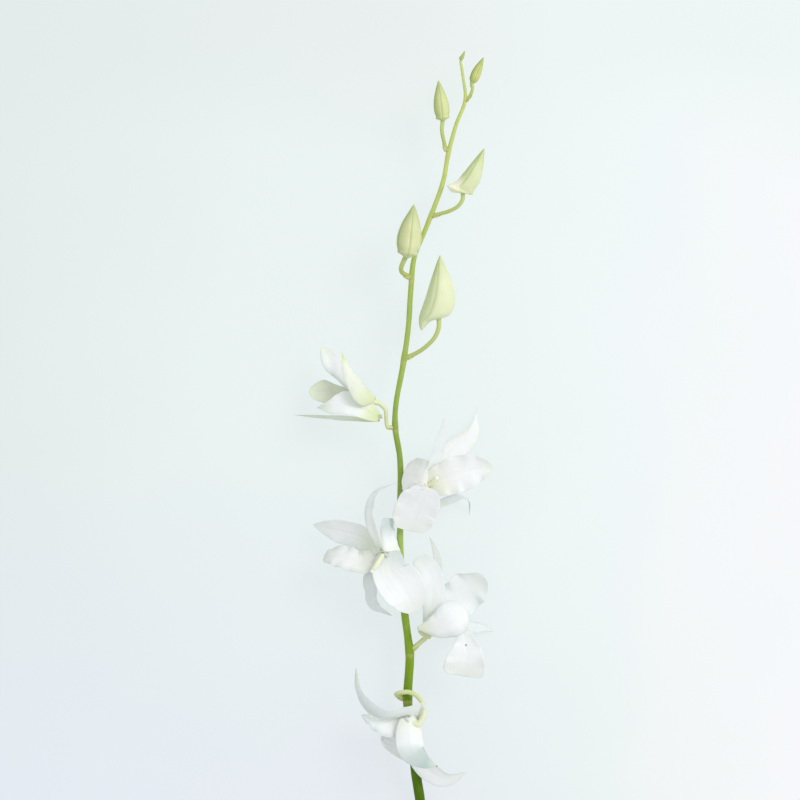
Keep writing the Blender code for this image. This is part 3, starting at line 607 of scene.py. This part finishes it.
def curve_points(points, count):
    """Evenly spaced points on a smooth curve through the given points."""
    knots = [np.array(point, float) for point in points]
    knots = [2 * knots[0] - knots[1], *knots, 2 * knots[-1] - knots[-2]]
    t = np.linspace(0.0, 1.0, CURVE_STEPS, endpoint=False)[:, None]
    dense = [0.5 * (2 * start + (end - before) * t + (2 * before - 5 * start + 4 * end - after) * t ** 2
                    + (3 * start - before - 3 * end + after) * t ** 3)
             for before, start, end, after in zip(knots, knots[1:], knots[2:], knots[3:])]
    dense = np.vstack([*dense, knots[-2]])
    lengths = np.concatenate(([0.0], np.cumsum(np.linalg.norm(np.diff(dense, axis=0), axis=1))))
    targets = np.linspace(0.0, lengths[-1], count + 1)
    return np.column_stack([np.interp(targets, lengths, dense[:, axis]) for axis in range(dense.shape[1])])


def tangents(route):
    steps = np.gradient(route, axis=0)
    return steps / np.linalg.norm(steps, axis=1)[:, None]


def carried_sides(route, side):
    """The side direction, carried along a route without twist, and the direction ahead."""
    ahead = tangents(route)
    sides = []
    for tangent in ahead:
        side = unit(side - side.dot(tangent) * tangent)
        sides.append(side)
    return np.array(sides), ahead


def add_object(name, data):
    obj = bpy.data.objects.new(name, data)
    bpy.context.scene.collection.objects.link(obj)
    return obj


def add_mesh(name, points, faces, uvs, material, **values):
    """A smooth mesh with a UV map and named values at its points. Points are in the tables' axes."""
    mesh = bpy.data.meshes.new(name)
    mesh.from_pydata((points * MM + SHIFT).tolist(), [], faces)
    layer = mesh.uv_layers.new(name="UVMap")
    corners = np.zeros(len(mesh.loops), np.int32)
    mesh.loops.foreach_get("vertex_index", corners)
    layer.data.foreach_set("uv", np.asarray(uvs, np.float32)[corners].ravel())
    for key, numbers in values.items():
        attribute = mesh.attributes.new(key, "FLOAT", "POINT")
        attribute.data.foreach_set("value", np.asarray(numbers, np.float32))
    mesh.materials.append(material)
    mesh.shade_smooth()
    clean_mesh(mesh)
    return add_object(name, mesh)


def clean_mesh(mesh):
    """Joins points that fall together at a tip, and turns all faces outwards."""
    bm = bmesh.new()
    bm.from_mesh(mesh)
    bmesh.ops.remove_doubles(bm, verts=bm.verts, dist=0.01 * MM)
    bmesh.ops.recalc_face_normals(bm, faces=bm.faces)
    bm.to_mesh(mesh)
    bm.free()


def place_piece(obj, slot, *replaced):
    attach(obj, "root")
    if replaced:
        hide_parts(*replaced)


def width_at(sheet, u):
    """Half width of a sheet at shares u of its length."""
    rise = np.sin(math.pi / 2 * np.clip(u / sheet.peak, 0.0, 1.0)) ** sheet.claw
    fall = np.cos(math.pi / 2 * np.clip((u - sheet.peak) / (1 - sheet.peak), 0.0, 1.0))
    return np.where(u <= sheet.peak, sheet.base + (sheet.half_width - sheet.base) * rise,
                    sheet.half_width * np.maximum(fall, 0.0) ** sheet.point)


def sheet_route(flower, kind, sheet):
    """The midrib, with rows before its base that run on into the heart of the flower."""
    aim = unit(flower.aim)
    out = np.array(sheet.route[0], float)
    out = unit(out - out.dot(aim) * aim)
    if sheet.start:
        base = np.array(sheet.start)
        inner = base * 0.75 - aim
    else:
        base = out * RING_RADIUS + aim * RING_LEVEL[kind]
        inner = out * LEAD_OUT + aim * (RING_LEVEL[kind] - LEAD_DROP)
    main = curve_points([base, *sheet.route], SHEET_ROWS)
    lead = np.array([inner + (base - inner) * step / ROWS_INSIDE for step in range(ROWS_INSIDE)])
    return np.vstack([lead, main])


def wavy(rng, u):
    """A smooth uneven curve along u, about 1 high."""
    total = np.zeros_like(u)
    for term in (1, 2, 3, 4):
        total += math.sqrt(1 / term) * np.sin(2 * math.pi * (term * 1.3 * u + rng.random()))
    return total / 2.0


def edge_waves(rng, sheet, u):
    """How the two edges wave up and down along a sheet."""
    return [np.sin(2 * math.pi * (sheet.waves * u + rng.random()) + wavy(rng, u)) for _ in range(2)]


def cross_sections(rng, sheet, u, v):
    """Places across the midrib and heights over it, for rows u and columns v."""
    grown = smooth_step(u / 0.35)
    width = width_at(sheet, u)
    near, far = (width * (1 + WANDER * wavy(rng, u) * grown) for _ in range(2))
    half = np.where(v < 0, near[:, None], far[:, None])
    slope = sheet.cup * v
    step = np.diff(v)
    middle_slope = (slope[1:] + slope[:-1]) / 2
    across = np.concatenate([[0.0], np.cumsum(np.cos(middle_slope) * step)])
    lift = np.concatenate([[0.0], np.cumsum(np.sin(middle_slope) * step)])
    middle = len(v) // 2
    across = (across - across[middle]) * half
    lift = (lift - lift[middle]) * half
    near_waves, far_waves = edge_waves(rng, sheet, u)
    waves = np.where(v < 0, near_waves[:, None], far_waves[:, None])
    swell = grown * smooth_step((1 - u) / 0.25)
    lift = lift + sheet.ruffle * waves * np.abs(v) ** 2.2 * swell[:, None]
    crease = sheet.crease * min(1.0, sheet.half_width / FULL_CREASE)
    lift = lift - crease * bell(v, 0.14) * (grown * (1 - u ** 3))[:, None]
    for rib in RIBS:
        lift = lift - 0.25 * crease * bell(np.abs(v) - rib, 0.10) * (grown * (1 - u ** 2))[:, None]
    return across, lift, width


def sheet_skin(rng, flower, kind, sheet, u, v):
    """The middle surface of a sheet, its normals, and its half width at each row."""
    route = sheet_route(flower, kind, sheet)
    first = unit(np.cross(unit(route[ROWS_INSIDE + 1] - route[ROWS_INSIDE]), np.array(sheet.face)))
    sides, ahead = carried_sides(route[ROWS_INSIDE:], first)
    inner_sides, inner_ahead = carried_sides(route[ROWS_INSIDE - 1::-1], sides[0])
    sides = np.vstack([inner_sides[::-1], sides])
    ahead = np.vstack([-inner_ahead[::-1], ahead])
    normals = np.cross(sides, ahead)
    across, lift, width = cross_sections(rng, sheet, u, v)
    skin = route[:, None, :] + sides[:, None, :] * across[..., None] + normals[:, None, :] * lift[..., None]
    surface = np.cross(np.gradient(skin, axis=1), np.gradient(skin, axis=0))
    size = np.linalg.norm(surface, axis=2, keepdims=True)
    surface = np.where(size > 1e-9, surface / np.maximum(size, 1e-9), normals[:, None, :])
    return skin + np.array(flower.heart), surface, width


def sheet_colours(sheet, skin, u, v):
    """How green a sheet is, how grey its painted shade makes it, and where its dark speck is, at the points
    of its two skins.
    """
    green = sheet.green_base * (1 - smooth_step(u / 0.45)) + sheet.green_tip * smooth_step((u - 0.72) / 0.28)
    green = np.repeat(np.clip(green, 0.0, 1.0), len(v))
    near, far = sheet.shade_sides
    shade = np.interp(u, np.linspace(0.0, 1.0, len(sheet.shade)), sheet.shade)[:, None]
    shade = shade + np.interp(v, (-1.0, -0.5, 0.5, 1.0), (near, 0, 0, far))
    speck = np.zeros(len(green))
    if sheet.speck:
        along, aside = sheet.speck
        middle = skin[np.abs(u - along).argmin(), np.abs(v - aside).argmin()]
        distance = np.linalg.norm(skin - middle, axis=2).ravel()
        speck = np.clip(1 - distance / SPECK_RADIUS, 0.0, 1.0)
    return {"green": np.tile(green, 2), "shade": np.tile(np.clip(shade, 0.0, 1.0).ravel(), 2),
            "speck": np.tile(speck, 2)}


def add_sheet(node, flower, kind, sheet, material):
    """A fine sepal, petal or lip: an upper and an under skin, closed along the edge."""
    columns = 24 if sheet.half_width < WIDE_SHEET else 32
    rows = SHEET_ROWS + 1 + ROWS_INSIDE
    u = np.clip((np.arange(rows) - ROWS_INSIDE) / SHEET_ROWS, 0.0, 1.0)
    v = np.linspace(-1.0, 1.0, columns + 1)
    skin, surface, width = sheet_skin(random.Random(node), flower, kind, sheet, u, v)
    thick = (sheet.thick - THICK_EDGE) * (1 - np.abs(v) ** 2.5) * (1 - 0.55 * u)[:, None]
    thick = np.minimum(THICK_EDGE + thick, 0.9 * np.maximum(width, 0.1)[:, None])[..., None]
    offset = surface * thick / 2
    points = np.vstack([(skin + offset).reshape(-1, 3), (skin - offset).reshape(-1, 3)])
    count = rows * (columns + 1)
    grid = np.arange(count).reshape(rows, columns + 1)
    a, b, c, d = grid[:-1, :-1], grid[:-1, 1:], grid[1:, 1:], grid[1:, :-1]
    upper = np.stack([a, b, c, d], -1).reshape(-1, 4)
    under = np.stack([d, c, b, a], -1).reshape(-1, 4) + count
    border = np.concatenate([grid[0, :], grid[1:, -1], grid[-1, -2::-1], grid[-2:0:-1, 0]])
    following = np.roll(border, -1)
    rim = np.stack([following, border, border + count, following + count], -1)
    uvs = np.stack(np.broadcast_arrays(u[:, None], (v + 1) / 2), -1).reshape(-1, 2)
    return add_mesh(node + "_skin", points, np.vstack([upper, under, rim]).tolist(), np.vstack([uvs, uvs]),
                    material, **sheet_colours(sheet, skin, u, v))


def tube_faces(rows, sides):
    """Point numbers in rings, the next point round each ring, and the faces between the rings."""
    grid = np.arange(rows * sides).reshape(rows, sides)
    after = np.roll(grid, -1, axis=1)
    return grid, after, np.stack([grid[:-1], after[:-1], after[1:], grid[1:]], -1).reshape(-1, 4).tolist()


def add_rod(name, route, radii, material, green=None, sides=18, ridges=0, ridge_depth=0.0):
    """A round stalk through the given points, with its own radius at each, closed at both ends."""
    start = np.cross(tangents(route)[0], (0.0, 0.0, 1.0))
    across, ahead = carried_sides(route, start if np.linalg.norm(start) > 0.1 else np.array((1.0, 0.0, 0.0)))
    up = np.cross(across, ahead)
    turn = np.linspace(0.0, 2 * math.pi, sides, endpoint=False)
    shape = 1 + ridge_depth * np.cos(ridges * turn)
    ring = across[:, None, :] * np.cos(turn)[:, None] + up[:, None, :] * np.sin(turn)[:, None]
    points = route[:, None, :] + ring * (radii[:, None] * shape)[..., None]
    points = np.vstack([points.reshape(-1, 3), route[0], route[-1]])
    rows = len(route)
    grid, after, faces = tube_faces(rows, sides)
    faces += [[after[0, i], grid[0, i], grid.size] for i in range(sides)]
    faces += [[grid[-1, i], after[-1, i], grid.size + 1] for i in range(sides)]
    along = np.repeat(np.linspace(0.0, 1.0, rows), sides)
    around = np.tile(1 - np.abs(np.linspace(-1.0, 1.0, sides, endpoint=False)), rows)
    uvs = np.vstack([np.column_stack([along, around]), [[0.0, 0.5], [1.0, 0.5]]])
    values = np.zeros(rows) if green is None else green
    green = np.concatenate([np.repeat(values, sides), values[[0, -1]]])
    return add_mesh(name, points, faces, uvs, material, green=green)


def add_stem():
    """The stem, with a swelling and a tan ring at each node."""
    route = curve_points(STEM_ROUTE, STEM_RINGS)
    route, radii = route[:, :3], route[:, 3]
    radii = radii * (1 + 0.02 * np.sin(route[:, 1] * 0.21) + 0.015 * np.sin(route[:, 1] * 0.57 + 1.0))
    tan = np.zeros(len(route))
    for carried in (*FLOWERS, *BUDS):
        distance = np.linalg.norm(route - np.array(carried.stalk[0]), axis=1)
        offset = route[:, 1] - route[distance.argmin(), 1]
        ring = offset + NODE_DROP
        radii = radii * (1 + 0.13 * bell(offset, 3.2) + 0.07 * bell(ring, 0.5))
        tan = np.maximum(tan, 0.75 * bell(ring, 0.55))
    stem = add_rod("stem_skin", route, radii, stem_material(), tan, sides=20, ridges=5, ridge_depth=0.02)
    place_piece(stem, "stem", "stem")


def add_flower_stalk(number, flower, material):
    """Pedicel and ovary, swelling where it meets the back of the flower, closed by a round top."""
    heart = np.array(flower.heart)
    top = 0.8 * unit(flower.aim)
    route = curve_points([*flower.stalk, heart - top, heart + top], 60)
    share = np.linspace(0.0, 1.0, len(route))
    radii = flower.stalk_radius + (OVARY_RADIUS - flower.stalk_radius) * share ** 3
    radii = radii * (1 + 0.18 * bell(share, 0.10)) * round_end(share, 0.06)
    stalk = add_rod(f"flower_{number}_pedicel_skin", route, radii, material, 0.5 * bell(share, 0.08),
                    ridges=6, ridge_depth=0.03)
    place_piece(stalk, "pedicel", f"flower_{number}_pedicel")


def add_column(number, flower, material, cap_material):
    """The column, a short pillar with a round end, and the white anther cap on it."""
    heart = np.array(flower.heart)
    route = curve_points([heart, *(heart + np.array(flower.column))], 24)
    share = np.linspace(0.0, 1.0, len(route))
    radii = (1.0 + 0.2 * np.sin(math.pi * share) + 0.1 * share) * round_end(share, 0.15)
    column = add_rod(f"flower_{number}_column_skin", route, radii, material, 0.5 - 0.4 * share)
    place_piece(column, "column", f"flower_{number}_column")
    end, ahead = route[-1], unit(route[-1] - route[-4])
    cap_share = np.linspace(-1.0, 1.0, 15)
    cap_route = end + ahead * (0.9 * cap_share - 0.5)[:, None]
    cap_radii = CAP_RADIUS * np.sqrt(np.maximum(1 - cap_share ** 2, 0.003))
    place_piece(add_rod(f"flower_{number}_cap_skin", cap_route, cap_radii, cap_material), "column")


def add_spur(number, flower, material):
    """The closed chin that the side sepals form behind the flower."""
    route = np.array(flower.heart) + curve_points(flower.spur, 24)
    share = np.linspace(0.0, 1.0, len(route))
    radii = (2.0 - 1.0 * share) * round_end(share, 0.2)
    place_piece(add_rod(f"flower_{number}_spur_skin", route, radii, material, 0.4 * share), "sepal")


def add_bract(name, carried, material):
    """The small scale leaf below the foot of a flower's or bud's stalk."""
    radius = carried.stalk_radius
    foot = np.array(carried.stalk[1])
    out = unit(np.array(carried.stalk[2]) - foot)
    down = unit(np.cross(np.cross(out, (0.0, -1.0, 0.0)), out))
    below = down * (radius + 0.3)
    at_foot = Flower(foot, out)
    route = (below + 0.2 * out, below + 1.4 * out, below * 0.9 + 2.7 * out)
    scale_leaf = Sheet(radius + 0.35, -down, route, cup=0.7, peak=0.25, point=0.8, base=radius,
                       start=tuple(below - 0.7 * out), thick=0.35, shade=(0.0, 0.1, 0.5))
    place_piece(add_sheet(name, at_foot, "sepal", scale_leaf, material), "stem")


def smooth_sections(bud):
    """The bud's sections with fine rings between them."""
    sections = np.array(BUD_SECTIONS)
    below = sections[:, 0] < 0.0
    sections[below, 0] *= bud.chin_drop
    sections[below, 2:] *= bud.chin_width
    sections[below.sum(), 2] *= 1 + CHIN_FLARE * (bud.chin_width - 1) * bud.chin_reach
    sections[sections[:, 0] < 0.1, 1] *= bud.chin_reach
    fine = np.linspace(0, len(sections) - 1, BUD_RINGS * (len(sections) - 1) + 1)
    slopes = np.gradient(sections, axis=0)
    low = np.minimum(fine.astype(int), len(sections) - 2)
    t = (fine - low)[:, None]
    return ((2 * t ** 3 - 3 * t ** 2 + 1) * sections[low] + (t ** 3 - 2 * t ** 2 + t) * slopes[low]
            + (-2 * t ** 3 + 3 * t ** 2) * sections[low + 1] + (t ** 3 - t ** 2) * slopes[low + 1])


def add_bud(name, bud, node):
    """A closed bud with the seams between its three sepals."""
    base, tip = np.array(bud.base), np.array(bud.tip)
    axis = tip - base
    chin = np.array(bud.chin)
    chin = unit(chin - chin.dot(axis) / axis.dot(axis) * axis)
    depth = np.cross(unit(axis), chin)
    station, shift, half_width, half_depth = smooth_sections(bud).T
    turn = np.linspace(-math.pi, math.pi, BUD_SIDES, endpoint=False)
    groove = np.zeros(BUD_SIDES)
    line = np.zeros(BUD_SIDES)
    for seam in SEAMS:
        offset = (turn - math.radians(seam) + math.pi) % (2 * math.pi) - math.pi
        groove += bell(offset, 0.09) - 0.45 * bell(offset, 0.35)
        line += bell(offset, 0.07)
    seam_depth = SEAM_DEPTH * smooth_step((station + 0.1) / 0.25) * smooth_step((1.02 - station) / 0.2)
    scale = 1 - seam_depth[:, None] * groove
    half_width = np.maximum(half_width, 0.0)[:, None]
    half_depth = np.maximum(half_depth, 0.0)[:, None]
    shift = shift[:, None]
    points = (base + axis * station[:, None, None]
              + chin * (bud.radius * (shift + half_width * np.cos(turn) * scale))[..., None]
              + depth * (bud.radius * half_depth * np.sin(turn) * scale)[..., None])
    # side is 1 on the bud's left. There the green value adds painted shade, as that side faces away from the
    # key light.
    side = -(chin[0] * np.cos(turn) + depth[0] * np.sin(turn))
    green = (0.45 * smooth_step((station - 0.5) / 0.5)[:, None] + 0.6 * line
             + 0.5 * smooth_step((side - 0.1) / 0.8))
    reach = shift + half_width * np.cos(turn)
    pale = bud.chin_pale * smooth_step((reach - 0.35) / 0.5) * smooth_step((0.36 - station) / 0.25)[:, None]
    uvs = np.stack(np.broadcast_arrays(station[:, None], np.abs(turn) / math.pi), -1).reshape(-1, 2)
    obj = add_mesh(name, points.reshape(-1, 3), tube_faces(len(station), BUD_SIDES)[2], uvs,
                   bud_material(name, bud.body, bud.shade), green=np.clip(green, 0.0, 1.0).ravel(),
                   pale=pale.ravel())
    place_piece(obj, "bud", node)


def add_bud_stalk(number, bud, material):
    base = np.array(bud.base)
    axis = unit(np.array(bud.tip) - base)
    route = curve_points([*bud.stalk, base - 1.0 * axis, base + 1.0 * axis], 36)
    share = np.linspace(0.0, 1.0, len(route))
    radii = bud.stalk_radius * (1 + 0.25 * share ** 4 + 0.25 * bell(share, 0.12))
    stalk = add_rod(f"bud_{number}_pedicel_skin", route, radii, material, 0.4 * bell(share, 0.12),
                    sides=16, ridges=5, ridge_depth=0.03)
    place_piece(stalk, "pedicel", f"bud_{number}_pedicel")


# ---- building the spray


def build_spray():
    petals = {name: petal_material(name, *look) for name, look in PETAL_LOOKS.items()}
    flower_stalk = stalk_material("flower_stalk", srgb(222, 227, 172), srgb(239, 242, 212))
    bud_stalk = stalk_material("bud_stalk", srgb(186, 198, 116), srgb(208, 216, 142))
    add_stem()
    for number, flower in enumerate(FLOWERS, start=1):
        add_flower_stalk(number, flower, flower_stalk)
        add_bract(f"flower_{number}_bract", flower, petals["bract"])
        add_column(number, flower, petals["column_skin"], petals["petal_white"])
        if flower.spur:
            add_spur(number, flower, flower_stalk)
        for name, sheet in flower.sheets.items():
            kind = "sepal" if "sepal" in name else name.split("_")[0]
            node = f"flower_{number}_{name}"
            place_piece(add_sheet(node, flower, kind, sheet, petals[sheet.finish]), kind, node)
    for number, bud in enumerate(BUDS, start=1):
        add_bud_stalk(number, bud, bud_stalk)
        add_bract(f"bud_{number}_bract", bud, petals["bract"])
        add_bud(f"bud_{number}_skin", bud, f"bud_{number}")
    add_bud("tip_bud_skin", TIP_BUD, "tip_bud")


# ---- floor, light, camera


FLOOR_SIZE = 6.0
FLOOR_GLOW = 0.82             # share of the floor's brightness that the camera sees without light
FILL_STRENGTH = 0.74
KEY_PLACE = (1.4, 1.0, 1.9)
KEY_TARGET = (0.0, 0.0, 0.02)
KEY_SIZE = 1.3
KEY_POWER = 25.0
CAMERA_HEIGHT = 1.5
SEEN_WIDTH = 0.4              # at the height of the flowers
FLOWER_HEIGHT = 0.024
VIEW_CENTRE = (0.0, 200.0)    # in the tables' axes


def add_floor():
    """A pale surface, greyer on the left and at the far end: painted shade where the light falls off. Its
    glow keeps shadows faint.
    """
    bpy.ops.mesh.primitive_plane_add(size=FLOOR_SIZE, location=(0.0, 0.0, 0.0))
    floor = bpy.context.object
    floor.name = "floor"
    nodes = Nodes(bpy.data.materials.new("floor"))
    place = nodes.place()
    parts = nodes.parts(place)
    cloud = nodes.remap(nodes.noise(place, 9.0, 2.0, 0.5), 0.3, 0.7, -0.02, 0.02)
    across = nodes.remap(nodes.maths("ADD", parts["X"], cloud), -0.2, 0.2)
    along = nodes.maths("ADD", parts["Y"], cloud)
    # upper, lower and far: painted shade of the light's falloff across the floor
    upper = nodes.ramp(across, (
        (0.0, srgb(229, 236, 236)), (0.3, srgb(234, 243, 242)), (0.6, srgb(236, 245, 244)),
        (0.8, srgb(241, 247, 248)), (1.0, srgb(246, 248, 250))))
    lower = nodes.ramp(across, (
        (0.0, srgb(229, 236, 244)), (0.4, srgb(232, 237, 243)), (0.6, srgb(233, 239, 242)),
        (0.74, srgb(235, 243, 243)), (0.86, srgb(242, 245, 246)), (1.0, srgb(246, 248, 250))))
    far = nodes.ramp(across, (
        (0.0, srgb(227, 236, 235)), (0.5, srgb(234, 239, 238)), (0.7, srgb(237, 245, 244)),
        (1.0, srgb(237, 245, 244))))
    colour = nodes.mix(nodes.remap(along, -0.16, 0.02), lower, upper)
    colour = nodes.mix(nodes.remap(along, 0.17, 0.23), colour, far)
    nodes.set(nodes.shader, Base_Color=colour, Roughness=0.9, Specular_IOR_Level=0.1)
    glow = nodes.new("Emission")
    nodes.set(glow, Color=colour)
    share = nodes.maths("MULTIPLY", nodes.seen(), FLOOR_GLOW)
    nodes.show(share, nodes.shader, glow, "Material Output")
    floor.data.materials.append(nodes.owner)


def add_world():
    """An even fill light, and the pale backdrop that the camera sees past the floor."""
    world = bpy.data.worlds.new("studio")
    bpy.context.scene.world = world
    nodes = Nodes(world, "Background")
    nodes.set(nodes.shader, Color=srgb(252, 255, 255), Strength=FILL_STRENGTH)
    backdrop = nodes.new("Background")
    nodes.set(backdrop, Color=srgb(238, 244, 244))
    nodes.show(nodes.seen(), nodes.shader, backdrop, "World Output")


def add_key_light():
    data = bpy.data.lights.new("key", "AREA")
    data.shape = "DISK"
    data.size = KEY_SIZE
    data.energy = KEY_POWER
    light = add_object("key", data)
    light.location = KEY_PLACE
    light.rotation_euler = (Vector(KEY_TARGET) - Vector(KEY_PLACE)).to_track_quat("-Z", "Y").to_euler()


def add_camera():
    data = bpy.data.cameras.new("camera")
    data.sensor_width = 36.0
    data.lens = data.sensor_width * (CAMERA_HEIGHT - FLOWER_HEIGHT) / SEEN_WIDTH
    data.clip_end = 20.0
    camera = add_object("camera", data)
    camera.location = (VIEW_CENTRE[0] * MM + SHIFT[0], VIEW_CENTRE[1] * MM + SHIFT[1], CAMERA_HEIGHT)
    bpy.context.scene.camera = camera


build_spray()
add_floor()
add_world()
add_key_light()
add_camera()
bpy.context.scene.view_settings.view_transform = "Standard"
